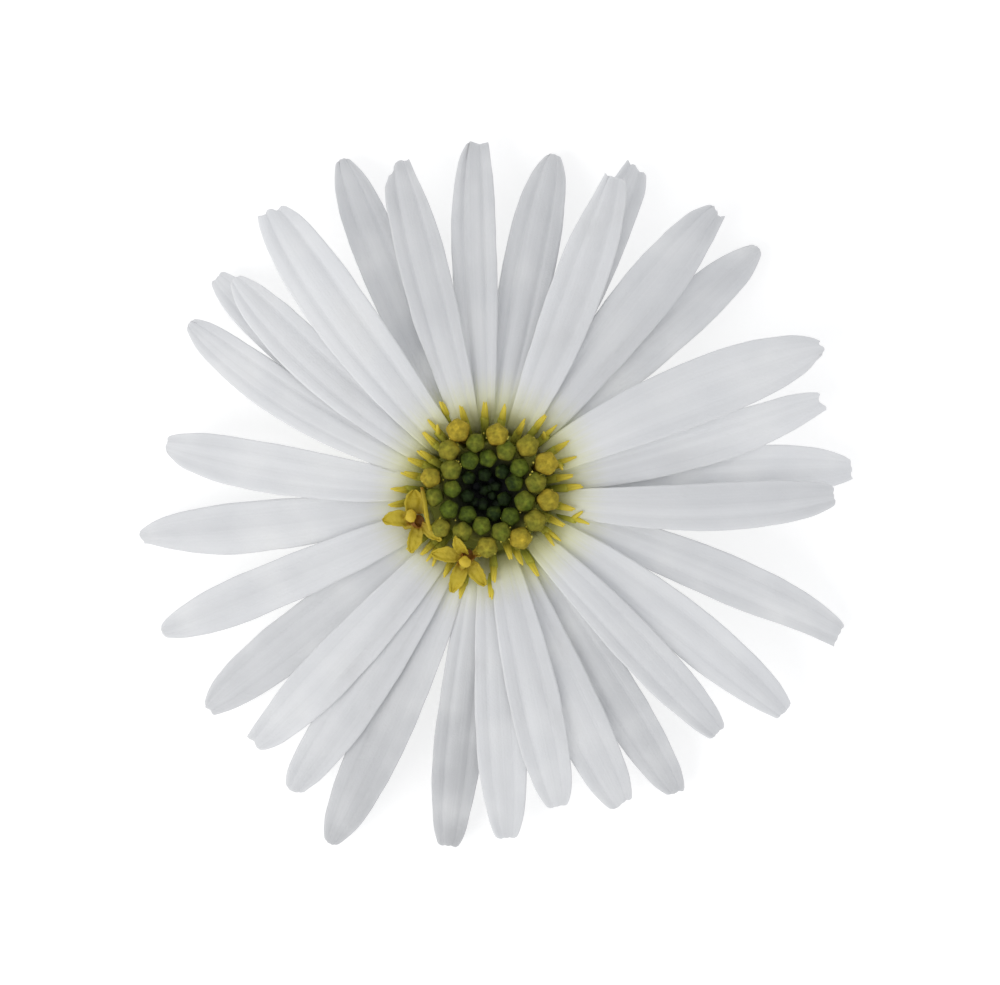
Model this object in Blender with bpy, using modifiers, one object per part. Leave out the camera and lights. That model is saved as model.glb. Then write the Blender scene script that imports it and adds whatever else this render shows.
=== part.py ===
"""Swan river daisy: one white flower head, picked off its stem and lying on its back.

The head faces +Z. The origin is on the flower's axis, in the small flat scar under the cup
where the stem came off, so the head rests on z = 0. Seen from above, +Y is the top, and
the petals' bearings run clockwise from it.
"""

import math
import random
from collections import namedtuple

import bmesh
import bpy
from mathutils import Matrix, Vector

MM = 0.001
FLOWER = "Swan_River_Daisy"

# The cup under the head, from the scar up to the rim that carries the ring of rays.
SCAR_RADIUS = 1.1 * MM
NECK_HEIGHT = 0.8 * MM
RIM_RADIUS = 3.65 * MM
RIM_HEIGHT = 3.45 * MM
RECEPTACLE_RADIUS = 2.25 * MM
RECEPTACLE_TOP = 4.9 * MM
RECEPTACLE_FOOT = 3.9 * MM
BRACTS_IN_A_WHORL = 9
BRACT_FROM = 0.05
BRACT_TO = 0.93
BRACT_WIDTH = 1.7 * MM
BRACT_FOOT_SHARE = 0.45
BRACT_WIDEST_AT = 0.6
BRACT_TIP_SHARE = 0.25
BRACT_RAISE = 0.05 * MM
BRACT_WHORL_STEP = 0.28 * MM
BRACT_FLARE = 0.35 * MM
BRACT_TIP_DROP = 0.45 * MM
BRACT_COLUMNS = 2
BRACT_ROWS = 4

# Where one node rests on the next, it stays this far clear of it.
CLEARANCE = 0.3 * MM

# The ray florets: white strap-shaped petals that grow from one ring on the cup's rim.
BLADE_THICKNESS = 0.6 * MM
RING_INNER = 2.65 * MM
RING_OUTER = 3.6 * MM
RING_BOTTOM = RIM_HEIGHT + CLEARANCE
RING_TOP = 5.1 * MM
RING_EDGE = 0.3 * MM
ROOT_RADIUS = 3.0 * MM
ROOT_HEIGHT = 4.05 * MM
ROOT_STEP = 0.3 * MM
LAYER_STEP = 0.7 * MM
LAYERS_OPEN_BY = 0.3
RISE = 2.2 * MM
DROOP = 3.3 * MM
DROOP_LESS_PER_LAYER = 0.5 * MM
PLEAT_DEPTH = 0.13 * MM
MARGIN_DROP = 0.05 * MM
ROOT_SHARE = 0.32
WIDEST_AT = 0.62
RISING_POWER = 1.2
CLOSING_POWER = 0.62
PETAL_COLUMNS = 4
PETAL_ROWS = 8
ROWS_TOWARDS_TIP = 1.4

# How a petal ends: the share of its width left at the tip, and how far each of five points
# across the tip, from left to right, stays behind the longest one, in millimetres.
Tip = namedtuple("Tip", "share behind")
TIPS = {
    "round": Tip(0.42, (0.40, 0.06, 0.0, 0.06, 0.40)),
    "square": Tip(0.52, (0.12, 0.0, 0.06, 0.0, 0.12)),
    "notched": Tip(0.46, (0.12, 0.0, 0.32, 0.02, 0.15)),
    "three_teeth": Tip(0.50, (0.0, 0.28, 0.06, 0.30, 0.02)),
    "left_tooth": Tip(0.42, (0.10, 0.25, 0.0, 0.08, 0.45)),
    "right_tooth": Tip(0.42, (0.45, 0.10, 0.0, 0.20, 0.02)),
}

# The rays one by one, clockwise from the top: the bearing of the root and of the tip in
# degrees, the tip's distance from the axis and the greatest width in millimetres, the
# layer from 0, the lowest, and the kind of tip.
Ray = namedtuple("Ray", "root_bearing tip_bearing reach width layer tip")
RAYS = [
    Ray(355.6, 357.4, 17.55, 2.25, 1, "right_tooth"),
    Ray(9.5, 10.8, 17.25, 2.60, 0, "round"),
    Ray(26.5, 21.4, 16.90, 2.60, 2, "square"),
    Ray(25.0, 24.2, 17.90, 2.45, 0, "notched"),
    Ray(38.4, 38.7, 18.35, 2.80, 1, "right_tooth"),
    Ray(47.6, 47.9, 18.20, 2.40, 0, "round"),
    Ray(62.0, 66.0, 18.05, 3.20, 2, "left_tooth"),
    Ray(80.5, 74.6, 17.40, 2.35, 1, "notched"),
    Ray(84.5, 86.6, 18.30, 2.70, 0, "notched"),
    Ray(98.0, 90.6, 17.35, 2.40, 2, "square"),
    Ray(106.6, 111.6, 19.00, 2.40, 0, "square"),
    Ray(121.2, 127.2, 18.40, 2.55, 1, "square"),
    Ray(135.5, 135.8, 16.60, 2.25, 2, "square"),
    Ray(147.9, 147.8, 17.80, 2.40, 0, "notched"),
    Ray(160.5, 156.7, 17.00, 2.65, 1, "notched"),
    Ray(167.3, 167.5, 16.15, 2.55, 2, "square"),
    Ray(176.9, 176.9, 17.40, 2.50, 1, "square"),
    Ray(186.8, 186.4, 17.90, 2.30, 0, "square"),
    Ray(202.5, 204.2, 19.25, 2.65, 0, "round"),
    Ray(212.0, 213.2, 17.80, 2.50, 1, "square"),
    Ray(219.7, 222.6, 17.20, 2.55, 2, "square"),
    Ray(233.5, 232.3, 17.65, 2.65, 0, "notched"),
    Ray(246.0, 246.8, 17.80, 2.35, 1, "round"),
    Ray(259.5, 262.8, 17.70, 2.60, 0, "left_tooth"),
    Ray(272.5, 278.3, 16.35, 2.55, 1, "square"),
    Ray(290.6, 299.6, 17.20, 2.30, 1, "round"),
    Ray(303.0, 308.2, 17.35, 2.20, 0, "notched"),
    Ray(302.5, 310.2, 16.60, 2.40, 2, "round"),
    Ray(317.5, 322.8, 17.80, 3.10, 3, "three_teeth"),
    Ray(333.5, 336.6, 18.15, 2.40, 0, "square"),
    Ray(342.8, 344.7, 17.05, 2.35, 2, "right_tooth"),
]

# The middle of the disc: green buds packed in a spiral, the smallest in a slight dimple.
DOME_RADIUS = 2.2 * MM
DOME_SHOULDER = 5.9 * MM
DOME_CREST = 6.1 * MM
DOME_CREST_AT = 0.6
DIMPLE_HEIGHT = 5.85 * MM
SPIRAL_FROM = 0.1 * MM
SPIRAL_WITHIN = 1.4 * MM
SPIRAL_BUD_DIAMETER = 0.56 * MM
SPIRAL_BUD_GROWTH = 0.18
GOLDEN_ANGLE = math.radians(137.508)
PACKING = 0.72
EDGE_BUDS = 12
EDGE_BUDS_TURNED_BY = 0.4
EDGE_BUD_RADIUS = 0.47 * MM
EDGE_BUDS_AT = 1.84 * MM
BUD_LEAN = 0.25
BUD_SIDES = 6
BUD_RINGS = 4
SMALL_RINGS = 3
BUD_LENGTHENED = 1.2

# The disc's yellow rim: fat buds, the open florets, and the rays' forked styles.
YELLOW_RING_INNER = 2.62 * MM
YELLOW_RING_OUTER = 3.5 * MM
YELLOW_RING_BOTTOM = RING_TOP + CLEARANCE
YELLOW_RING_TOP = 5.75 * MM
YELLOW_RING_CROWN = 0.1 * MM
YELLOW_BUDS = 17
YELLOW_BUD_RADIUS = 0.62 * MM
YELLOW_BUDS_AT = 3.27 * MM
YELLOW_BUD_HEIGHT = 6.1 * MM
YELLOW_BUD_FLATTENED = 0.92
YELLOW_BUD_SIZES = (0.92, 1.0)
YELLOW_BUD_SHIFT = 2.0
OPEN_FLORET_BEARINGS = (198.0, 221.0, 248.0)
OPEN_FLORET_LEAN = math.radians(58.0)
OPEN_FLORET_LENGTH = 0.95 * MM
FLORET_TUBE_RADIUS = 0.3 * MM
FLORET_MOUTH_RADIUS = 0.45 * MM
FLORET_ANTHERS = (0.24 * MM, 0.24 * MM, 0.42 * MM)
FLORET_LOBES = 5
LOBE = (0.5 * MM, 0.27 * MM, 0.3 * MM)
LOBES_AT = 0.575 * MM
STYLES = 28
STYLE_SHIFT = 0.15
STYLE_LENGTHS = (0.86, 1.05)
STYLE_FROM = 3.1 * MM
STYLE_HEIGHT = 5.72 * MM
STYLE_LENGTH = 1.9 * MM
STYLE_RISE = math.radians(17.0)
STYLE_VEER = 9.0
STYLE_FORKS_AT = 0.5
STYLE_FORK = 32.0
STYLE_BRANCH_LENGTH = 0.9 * MM
STYLE_RADIUS = 0.2 * MM
STYLE_TIP_RADIUS = 0.11 * MM
STYLE_SIDES = 4

TURN_STEPS = 27


def clear_scene():
    for old in list(bpy.data.objects):
        bpy.data.objects.remove(old, do_unlink=True)


def new_collection(name):
    collection = bpy.data.collections.new(name)
    bpy.context.scene.collection.children.link(collection)
    return collection


def new_material(name, colour, roughness):
    material = bpy.data.materials.new(name)
    material.use_nodes = True
    shader = material.node_tree.nodes["Principled BSDF"]
    shader.inputs["Base Color"].default_value = (*colour, 1.0)
    shader.inputs["Roughness"].default_value = roughness
    shader.inputs["Metallic"].default_value = 0.0
    return material


def smooth_step(value):
    """0 up to 0, 1 from 1 on, and an even S-curve between them."""
    value = min(max(value, 0.0), 1.0)
    return value * value * (3.0 - 2.0 * value)


def bearing_vector(degrees):
    """The level direction at a bearing, clockwise from +Y."""
    angle = math.radians(degrees)
    return Vector((math.sin(angle), math.cos(angle), 0.0))


def turned(name, profile, collection):
    """A solid of revolution: profile runs down its outer side, as (radius, height) pairs."""
    mesh = bpy.data.meshes.new(name)
    points = [(radius, 0.0, height) for radius, height in profile]
    edges = [(i, i + 1) for i in range(len(points) - 1)]
    mesh.from_pydata(points, edges, [])
    piece = bpy.data.objects.new(name, mesh)
    collection.objects.link(piece)
    screw = piece.modifiers.new("Turn", "SCREW")
    screw.steps = TURN_STEPS
    screw.render_steps = TURN_STEPS
    screw.use_merge_vertices = True
    screw.merge_threshold = 0.00001
    screw.use_normal_calculate = True
    return piece


def blade(name, columns, rows, place, collection):
    """A thin leaf: a grid whose corners go where place(across, along) says, then thickened.

    across runs from -1 to 1 and along from 0 to 1. The sheet is cut into triangles before it
    is thickened, so that both of its faces bend along the same lines.
    """
    mesh = bpy.data.meshes.new(name)
    sheet = bmesh.new()
    bmesh.ops.create_grid(sheet, x_segments=columns, y_segments=rows, size=1.0)
    for corner in sheet.verts:
        corner.co = place(corner.co.x, (corner.co.y + 1.0) / 2.0)
    bmesh.ops.triangulate(sheet, faces=sheet.faces)
    sheet.to_mesh(mesh)
    sheet.free()
    leaf = bpy.data.objects.new(name, mesh)
    collection.objects.link(leaf)
    thickness = leaf.modifiers.new("Thickness", "SOLIDIFY")
    thickness.thickness = BLADE_THICKNESS
    thickness.offset = 0.0
    return leaf


def lump(name, sides, rings, size, place, collection):
    """A faceted bead, stretched to its three half sizes and put where the matrix says."""
    mesh = bpy.data.meshes.new(name)
    bead = bmesh.new()
    bmesh.ops.create_uvsphere(bead, u_segments=sides, v_segments=rings, radius=1.0)
    bmesh.ops.scale(bead, vec=size, verts=bead.verts)
    bmesh.ops.transform(bead, matrix=place, verts=bead.verts)
    bead.to_mesh(mesh)
    bead.free()
    piece = bpy.data.objects.new(name, mesh)
    collection.objects.link(piece)
    return piece


def rod(name, sides, start, end, start_radius, end_radius, collection):
    """A straight tapered rod with flat ends."""
    mesh = bpy.data.meshes.new(name)
    line = end - start
    stick = bmesh.new()
    bmesh.ops.create_cone(
        stick,
        cap_ends=True,
        segments=sides,
        radius1=start_radius,
        radius2=end_radius,
        depth=line.length,
    )
    turn = line.to_track_quat("Z", "Y").to_matrix().to_4x4()
    bmesh.ops.transform(
        stick, matrix=Matrix.Translation((start + end) / 2.0) @ turn, verts=stick.verts
    )
    stick.to_mesh(mesh)
    stick.free()
    piece = bpy.data.objects.new(name, mesh)
    collection.objects.link(piece)
    return piece


def join(core, repeats):
    """Fuses a collection of solids to the core as one body, and removes the collection."""
    union = core.modifiers.new("Grown together", "BOOLEAN")
    union.operation = "UNION"
    union.operand_type = "COLLECTION"
    union.collection = repeats
    union.solver = "EXACT"
    view = bpy.context.evaluated_depsgraph_get()
    joined = bpy.data.meshes.new_from_object(core.evaluated_get(view))
    joined.name = core.name
    core.modifiers.clear()
    core.data = joined
    for piece in list(repeats.objects):
        bpy.data.objects.remove(piece, do_unlink=True)
    bpy.data.collections.remove(repeats)


def finish(piece, material):
    piece.data.materials.clear()
    piece.data.materials.append(material)


def receptacle_height(radius):
    """The domed top of the receptacle, which the disc florets stand on."""
    share = min(radius / RECEPTACLE_RADIUS, 1.0)
    return RECEPTACLE_FOOT + (RECEPTACLE_TOP - RECEPTACLE_FOOT) * math.sqrt(1.0 - share**2)


def cup_side(share):
    """The cup's outer side as (radius, height), from the neck at 0 to the rim at 1."""
    angle = share * math.pi / 2.0
    radius = SCAR_RADIUS + (RIM_RADIUS - SCAR_RADIUS) * math.sin(angle)
    height = NECK_HEIGHT + (RIM_HEIGHT - NECK_HEIGHT) * (1.0 - math.cos(angle))
    return radius, height


def bract_corner(bearing, whorl, across, along):
    """A bract hugs the cup from the neck up and flares a little at its pointed tip."""
    radius, height = cup_side(BRACT_FROM + (BRACT_TO - BRACT_FROM) * along)
    swell = math.sin(math.pi / 2.0 * min(along / BRACT_WIDEST_AT, 1.0))
    past = max(along - BRACT_WIDEST_AT, 0.0) / (1.0 - BRACT_WIDEST_AT)
    raised = BRACT_RAISE + BRACT_WHORL_STEP * whorl + BRACT_FLARE * smooth_step(past)
    width = BRACT_WIDTH * (BRACT_FOOT_SHARE + (1.0 - BRACT_FOOT_SHARE) * swell)
    width *= 1.0 - (1.0 - BRACT_TIP_SHARE) * past**2
    outward = bearing_vector(bearing)
    sideways = Vector((outward.y, -outward.x, 0.0))
    turn = across * width / 2.0 / radius
    aim = outward * math.cos(turn) + sideways * math.sin(turn)
    return aim * (radius + raised) + Vector((0.0, 0.0, height - BRACT_TIP_DROP * along))


def build_involucre(collection, material):
    """The green cup: receptacle, neck with its scar, and two whorls of overlapping bracts."""
    top = [(0.0, RECEPTACLE_TOP)]
    for share in (0.35, 0.65, 0.87, 1.0):
        radius = RECEPTACLE_RADIUS * share
        top.append((radius, receptacle_height(radius)))
    shelf = [(RECEPTACLE_RADIUS, RIM_HEIGHT)]
    side = [cup_side(share) for share in (1.0, 0.8, 0.6, 0.4, 0.2, 0.0)]
    scar = [(SCAR_RADIUS, 0.0), (0.0, 0.0)]
    cup = turned("involucre_cup", top + shelf + side + scar, collection)
    bracts = new_collection("Bracts")
    step = 360.0 / BRACTS_IN_A_WHORL
    for whorl in (0, 1):
        for number in range(BRACTS_IN_A_WHORL):
            bearing = (number + whorl / 2.0) * step

            def corner(across, along, bearing=bearing, whorl=whorl):
                return bract_corner(bearing, whorl, across, along)

            blade(f"bract_{whorl}_{number}", BRACT_COLUMNS, BRACT_ROWS, corner, bracts)
    join(cup, bracts)
    finish(cup, material)
    return cup


def ray_centre(ray, along):
    """A point on the level track of a ray's midrib."""
    radius = ROOT_RADIUS + (ray.reach * MM - ROOT_RADIUS) * along
    bearing = ray.root_bearing + (ray.tip_bearing - ray.root_bearing) * along
    return bearing_vector(bearing) * radius


def ray_half_width(ray, along):
    """Half the width: it swells from a narrow claw to the widest place, then rounds off."""
    end_share = TIPS[ray.tip].share
    if along < WIDEST_AT:
        swell = math.sin(math.pi / 2.0 * along / WIDEST_AT) ** RISING_POWER
        share = ROOT_SHARE + (1.0 - ROOT_SHARE) * swell
    else:
        past = (along - WIDEST_AT) / (1.0 - WIDEST_AT)
        share = end_share + (1.0 - end_share) * (1.0 - past**2) ** CLOSING_POWER
    return ray.width * MM / 2.0 * share


def ray_height(ray, along):
    """The midrib's height: it rises off the ring, arches over and sinks towards the tip."""
    opening = ROOT_STEP + (LAYER_STEP - ROOT_STEP) * smooth_step(along / LAYERS_OPEN_BY)
    droop = DROOP - DROOP_LESS_PER_LAYER * ray.layer + RISE
    return ROOT_HEIGHT + opening * ray.layer + RISE * along - droop * along**2


def ray_corner(ray, across, row_share):
    """A petal's corner, with two grooves along it and the tip's teeth on its last row."""
    along = 1.0 - (1.0 - row_share) ** ROWS_TOWARDS_TIP
    near = 0.01
    centre = ray_centre(ray, along)
    ahead = (ray_centre(ray, along + near) - ray_centre(ray, along - near)).normalized()
    sideways = Vector((ahead.y, -ahead.x, 0.0))
    groove = PLEAT_DEPTH * (1.0 - abs(2.0 * abs(across) - 1.0))
    section = -groove - MARGIN_DROP * across**2
    corner = centre + sideways * across * ray_half_width(ray, along)
    corner.z = ray_height(ray, along) + section
    last_row = row_share > 1.0 - 0.5 / PETAL_ROWS
    if last_row:
        place = round((across + 1.0) * 2.0)
        corner -= ahead * TIPS[ray.tip].behind[place] * MM
    return corner


def build_rays(collection, material):
    """All the white petals, grown out of one ring on the cup's rim."""
    middle = (RING_INNER + RING_OUTER) / 2.0
    profile = [
        (middle, RING_TOP),
        (RING_OUTER, RING_TOP - RING_EDGE),
        (RING_OUTER, RING_BOTTOM + RING_EDGE),
        (middle, RING_BOTTOM),
        (RING_INNER, RING_BOTTOM + RING_EDGE),
        (RING_INNER, RING_TOP - RING_EDGE),
        (middle, RING_TOP),
    ]
    ring = turned("ray_petals", profile, collection)
    petals = new_collection("Petals")
    for number, ray in enumerate(RAYS):

        def corner(across, along, ray=ray):
            return ray_corner(ray, across, along)

        blade(f"petal_{number:02d}", PETAL_COLUMNS, PETAL_ROWS, corner, petals)
    join(ring, petals)
    finish(ring, material)
    return ring


def dome_height(radius):
    """The top of the green core: a low dome with a dimple in its middle."""
    share = radius / DOME_RADIUS
    rising = math.sin(math.pi / 2.0 * min(share / DOME_CREST_AT, 1.0))
    falling = smooth_step((share - DOME_CREST_AT) / (1.0 - DOME_CREST_AT))
    crest = DIMPLE_HEIGHT + (DOME_CREST - DIMPLE_HEIGHT) * rising
    return crest - (DOME_CREST - DOME_SHOULDER) * falling


def add_green_bud(name, bearing, radius, half, collection):
    """A closed floret that stands on the dome and leans a little outwards."""
    place = bearing_vector(bearing) * radius
    axis = place.cross(Vector((0.0, 0.0, -1.0)))
    lean = Matrix.Rotation(BUD_LEAN * radius / DOME_RADIUS, 4, axis)
    place.z = dome_height(radius)
    size = (half, half, half * BUD_LENGTHENED)
    matrix = Matrix.Translation(place) @ lean
    lump(name, BUD_SIDES, BUD_RINGS, size, matrix, collection)


def build_green_buds(collection, material):
    """The green middle of the disc: a small core covered in buds, set in a spiral."""
    shares = (0.0, 0.3, 0.6, 0.85, 1.0)
    top = [(DOME_RADIUS * share, dome_height(DOME_RADIUS * share)) for share in shares]
    under = [
        (DOME_RADIUS * share, receptacle_height(DOME_RADIUS * share) + CLEARANCE)
        for share in (1.0, 0.87, 0.65, 0.35)
    ]
    under.append((0.0, RECEPTACLE_TOP + CLEARANCE))
    core = turned("disc_green_buds", top + under, collection)
    buds = new_collection("Green buds")
    radius = SPIRAL_FROM
    number = 0
    while radius < SPIRAL_WITHIN:
        diameter = SPIRAL_BUD_DIAMETER + SPIRAL_BUD_GROWTH * radius
        bearing = math.degrees(number * GOLDEN_ANGLE)
        add_green_bud(f"spiral_bud_{number:02d}", bearing, radius, diameter / 2.0, buds)
        radius = math.sqrt(radius**2 + PACKING * diameter**2 / math.pi)
        number += 1
    for number in range(EDGE_BUDS):
        bearing = (number + EDGE_BUDS_TURNED_BY) * 360.0 / EDGE_BUDS
        add_green_bud(f"edge_bud_{number:02d}", bearing, EDGE_BUDS_AT, EDGE_BUD_RADIUS, buds)
    join(core, buds)
    finish(core, material)
    return core


def add_open_floret(bearing, name, collection):
    """A tubular floret that leans out over the petals, with spread lobes round its mouth."""
    outward = bearing_vector(bearing)
    aim = outward * math.sin(OPEN_FLORET_LEAN) + Vector((0, 0, math.cos(OPEN_FLORET_LEAN)))
    foot = outward * YELLOW_BUDS_AT
    foot.z = YELLOW_RING_TOP
    mouth = foot + aim * OPEN_FLORET_LENGTH
    rod(f"{name}_tube", BUD_SIDES, foot, mouth, FLORET_TUBE_RADIUS, FLORET_MOUTH_RADIUS, collection)
    frame = Matrix.Translation(mouth) @ aim.to_track_quat("Z", "Y").to_matrix().to_4x4()
    lump(f"{name}_anthers", BUD_SIDES, SMALL_RINGS, FLORET_ANTHERS, frame, collection)
    reach = Matrix.Translation((LOBES_AT, 0.0, 0.0))
    for lobe in range(FLORET_LOBES):
        turn = Matrix.Rotation(math.tau * lobe / FLORET_LOBES, 4, "Z")
        lump(f"{name}_lobe_{lobe}", BUD_SIDES, SMALL_RINGS, LOBE, frame @ turn @ reach, collection)


def add_style(bearing, name, share, collection):
    """A forked style: one rod that leans out over the petals, and a branch off its side."""
    outward = bearing_vector(bearing)
    foot = outward * STYLE_FROM
    foot.z = STYLE_HEIGHT
    level = bearing_vector(bearing - STYLE_VEER)
    aim = level * math.cos(STYLE_RISE) + Vector((0.0, 0.0, math.sin(STYLE_RISE)))
    tip = foot + aim * STYLE_LENGTH * share
    rod(f"{name}_stalk", STYLE_SIDES, foot, tip, STYLE_RADIUS, STYLE_TIP_RADIUS, collection)
    fork = foot + aim * STYLE_LENGTH * STYLE_FORKS_AT
    end = fork + bearing_vector(bearing + STYLE_FORK) * STYLE_BRANCH_LENGTH * share
    rod(f"{name}_branch", STYLE_SIDES, fork, end, STYLE_RADIUS, STYLE_TIP_RADIUS, collection)


def build_yellow_florets(collection, material):
    """The disc's yellow rim: a base ring with buds, open florets and the rays' styles."""
    middle = (YELLOW_RING_INNER + YELLOW_RING_OUTER) / 2.0
    profile = [
        (middle, YELLOW_RING_TOP),
        (YELLOW_RING_OUTER, YELLOW_RING_TOP - YELLOW_RING_CROWN),
        (YELLOW_RING_OUTER, YELLOW_RING_BOTTOM),
        (YELLOW_RING_INNER, YELLOW_RING_BOTTOM),
        (YELLOW_RING_INNER, YELLOW_RING_TOP - YELLOW_RING_CROWN),
        (middle, YELLOW_RING_TOP),
    ]
    ring = turned("disc_yellow_florets", profile, collection)
    florets = new_collection("Yellow florets")
    drawn = random.Random(7)
    for number in range(YELLOW_BUDS):
        shift = drawn.uniform(-YELLOW_BUD_SHIFT, YELLOW_BUD_SHIFT)
        bearing = number * 360.0 / YELLOW_BUDS + shift
        place = bearing_vector(bearing) * YELLOW_BUDS_AT
        place.z = YELLOW_BUD_HEIGHT
        half = YELLOW_BUD_RADIUS * drawn.uniform(*YELLOW_BUD_SIZES)
        size = (half, half, half * YELLOW_BUD_FLATTENED)
        turn = Matrix.Rotation(drawn.uniform(0.0, 1.0), 4, "Z")
        matrix = Matrix.Translation(place) @ turn
        lump(f"yellow_bud_{number:02d}", BUD_SIDES, BUD_RINGS, size, matrix, florets)
    for number, bearing in enumerate(OPEN_FLORET_BEARINGS):
        add_open_floret(bearing, f"open_floret_{number}", florets)
    for number in range(STYLES):
        bearing = (number + drawn.uniform(-STYLE_SHIFT, STYLE_SHIFT)) * 360.0 / STYLES
        share = drawn.uniform(*STYLE_LENGTHS)
        add_style(bearing, f"style_{number:02d}", share, florets)
    join(ring, florets)
    finish(ring, material)
    return ring


def main():
    clear_scene()
    flower = new_collection(FLOWER)
    cup_green = new_material("Bract green", (0.16, 0.27, 0.08), 0.6)
    petal_white = new_material("Petal white", (0.80, 0.81, 0.84), 0.55)
    bud_green = new_material("Bud green", (0.10, 0.16, 0.03), 0.5)
    floret_yellow = new_material("Floret yellow", (0.45, 0.38, 0.03), 0.5)
    build_involucre(flower, cup_green)
    build_rays(flower, petal_white)
    build_green_buds(flower, bud_green)
    build_yellow_florets(flower, floret_yellow)


main()
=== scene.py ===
# %% [markdown]
# # A swan river daisy head
#
# One white daisy head lies on its back and is seen from straight above. A small set of measured
# solids already fixes its size and place. This notebook puts the real surface round them: thin
# grooved petals, a disc of green and yellow florets, forked styles and a green cup of bracts.
#
# Everything is in metres, in the solids' own frame: +Z is up through the flower, +Y is the top
# of the picture, and the flower rests on z = 0.

# %% Load the measured solids
import math
import random

import bmesh
import bpy
from mathutils import Matrix, Vector


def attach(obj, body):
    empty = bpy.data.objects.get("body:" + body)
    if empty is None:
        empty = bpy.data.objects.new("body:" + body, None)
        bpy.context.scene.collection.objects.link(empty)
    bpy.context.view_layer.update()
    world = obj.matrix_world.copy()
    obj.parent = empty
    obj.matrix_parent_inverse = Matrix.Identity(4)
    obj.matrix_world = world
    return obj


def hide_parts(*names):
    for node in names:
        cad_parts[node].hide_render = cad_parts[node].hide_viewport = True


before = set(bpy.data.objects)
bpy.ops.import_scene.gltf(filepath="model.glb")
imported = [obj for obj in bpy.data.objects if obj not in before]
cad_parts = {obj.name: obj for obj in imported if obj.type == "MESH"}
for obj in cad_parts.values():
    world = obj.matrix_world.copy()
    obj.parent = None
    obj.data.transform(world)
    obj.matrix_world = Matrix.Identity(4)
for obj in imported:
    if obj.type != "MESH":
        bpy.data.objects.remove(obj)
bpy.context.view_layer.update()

MM = 0.001
print("solids:", sorted(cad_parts))

# %% [markdown]
# ## Reading places off the picture
#
# The picture is 1000 pixels wide and the flower's axis stands at one pixel of it, so a bud or a
# style can be given by the pixel that it is seen at. A bearing runs clockwise from the top, as
# on a compass, which is handy for petals round a ring.

# %% Places
PIXEL = 0.05 * MM
AXIS_PIXEL = (488.0, 492.0)
PICTURE = (1000.0, 985.0)


def from_picture(across, down, height=0.0):
    """The place under a pixel of the picture, at this height."""
    return Vector(((across - AXIS_PIXEL[0]) * PIXEL, (AXIS_PIXEL[1] - down) * PIXEL, height))


def in_mm(pairs):
    """Pairs of millimetres as pairs of metres."""
    return [(first * MM, second * MM) for first, second in pairs]


def heading(degrees):
    """The level direction at a bearing, clockwise from the top."""
    angle = math.radians(degrees)
    return Vector((math.sin(angle), math.cos(angle), 0.0))


def ease(value):
    """0 up to 0, 1 from 1 on, and an even S-curve between them."""
    value = min(max(value, 0.0), 1.0)
    return value * value * (3.0 - 2.0 * value)


def paint(red, green, blue):
    """A screen colour, 0 to 255, as the linear colour that a shader takes."""
    def linear(value):
        value /= 255.0
        return value / 12.92 if value <= 0.04045 else ((value + 0.055) / 1.055) ** 2.4
    return (linear(red), linear(green), linear(blue), 1.0)


print("the top petal's tip lies near", [round(v / MM, 1) for v in from_picture(480, 142)])

# %% [markdown]
# ## Hand tools
#
# Blender's operators act on whatever is selected, and the solids arrive selected. So every step
# first picks one piece, or the corners of it that are to move. A shape that repeats is made
# once, and each copy gets its own mesh.

# %% Selecting, copying and joining
def alone(piece):
    """Selects this piece and nothing else."""
    bpy.ops.object.select_all(action="DESELECT")
    piece.select_set(True)
    bpy.context.view_layer.objects.active = piece
    return piece


def settle(piece, name):
    """Names a new primitive and moves its place and size into its mesh."""
    alone(piece)
    bpy.ops.object.transform_apply(location=True, rotation=True, scale=True)
    piece.name = name
    piece.data.name = name
    return piece


def pick(piece, wanted):
    """In edit mode, selects the corners whose place passes the test."""
    bpy.ops.mesh.select_mode(type="VERT")
    bpy.ops.mesh.select_all(action="DESELECT")
    shape = bmesh.from_edit_mesh(piece.data)
    for corner in shape.verts:
        corner.select_set(bool(wanted(corner.co)))
    shape.select_flush_mode()
    bmesh.update_edit_mesh(piece.data)


def copy_of(blank, name):
    piece = blank.copy()
    piece.data = blank.data.copy()
    piece.name = name
    piece.data.name = name
    bpy.context.collection.objects.link(piece)
    return piece


def joined(pieces, name):
    """Several pieces as one object."""
    bpy.ops.object.select_all(action="DESELECT")
    for piece in pieces:
        piece.select_set(True)
    bpy.context.view_layer.objects.active = pieces[0]
    bpy.ops.object.join()
    pieces[0].name = name
    pieces[0].data.name = name
    return pieces[0]


def applied(piece, kind, **settings):
    """Adds a modifier with these settings and applies it at once."""
    alone(piece)
    modifier = piece.modifiers.new(kind, kind)
    for key, value in settings.items():
        setattr(modifier, key, value)
    bpy.ops.object.modifier_apply(modifier=modifier.name)
    return piece


def stretched(piece, value):
    """Scales a whole mesh from the origin, in edit mode."""
    alone(piece)
    bpy.ops.object.mode_set(mode="EDIT")
    bpy.ops.mesh.select_all(action="SELECT")
    bpy.ops.transform.resize(value=value, center_override=(0, 0, 0))
    bpy.ops.object.mode_set(mode="OBJECT")


def strip(name, columns, rows):
    """A flat grid, 1 wide and 1 long, that stands along +Y from the origin."""
    bpy.ops.object.select_all(action="DESELECT")
    bpy.ops.mesh.primitive_grid_add(
        x_subdivisions=columns, y_subdivisions=rows, size=1.0, location=(0.0, 0.5, 0.0)
    )
    return settle(bpy.context.object, name)


def crinkled(piece, size, depth):
    """Ruffles a surface by a cloud pattern, with bumps of this size and depth."""
    clouds = bpy.data.textures.new("clouds", "CLOUDS")
    clouds.noise_scale = size
    applied(piece, "DISPLACE", texture=clouds, texture_coords="LOCAL", strength=depth)
    bpy.data.textures.remove(clouds)


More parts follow.
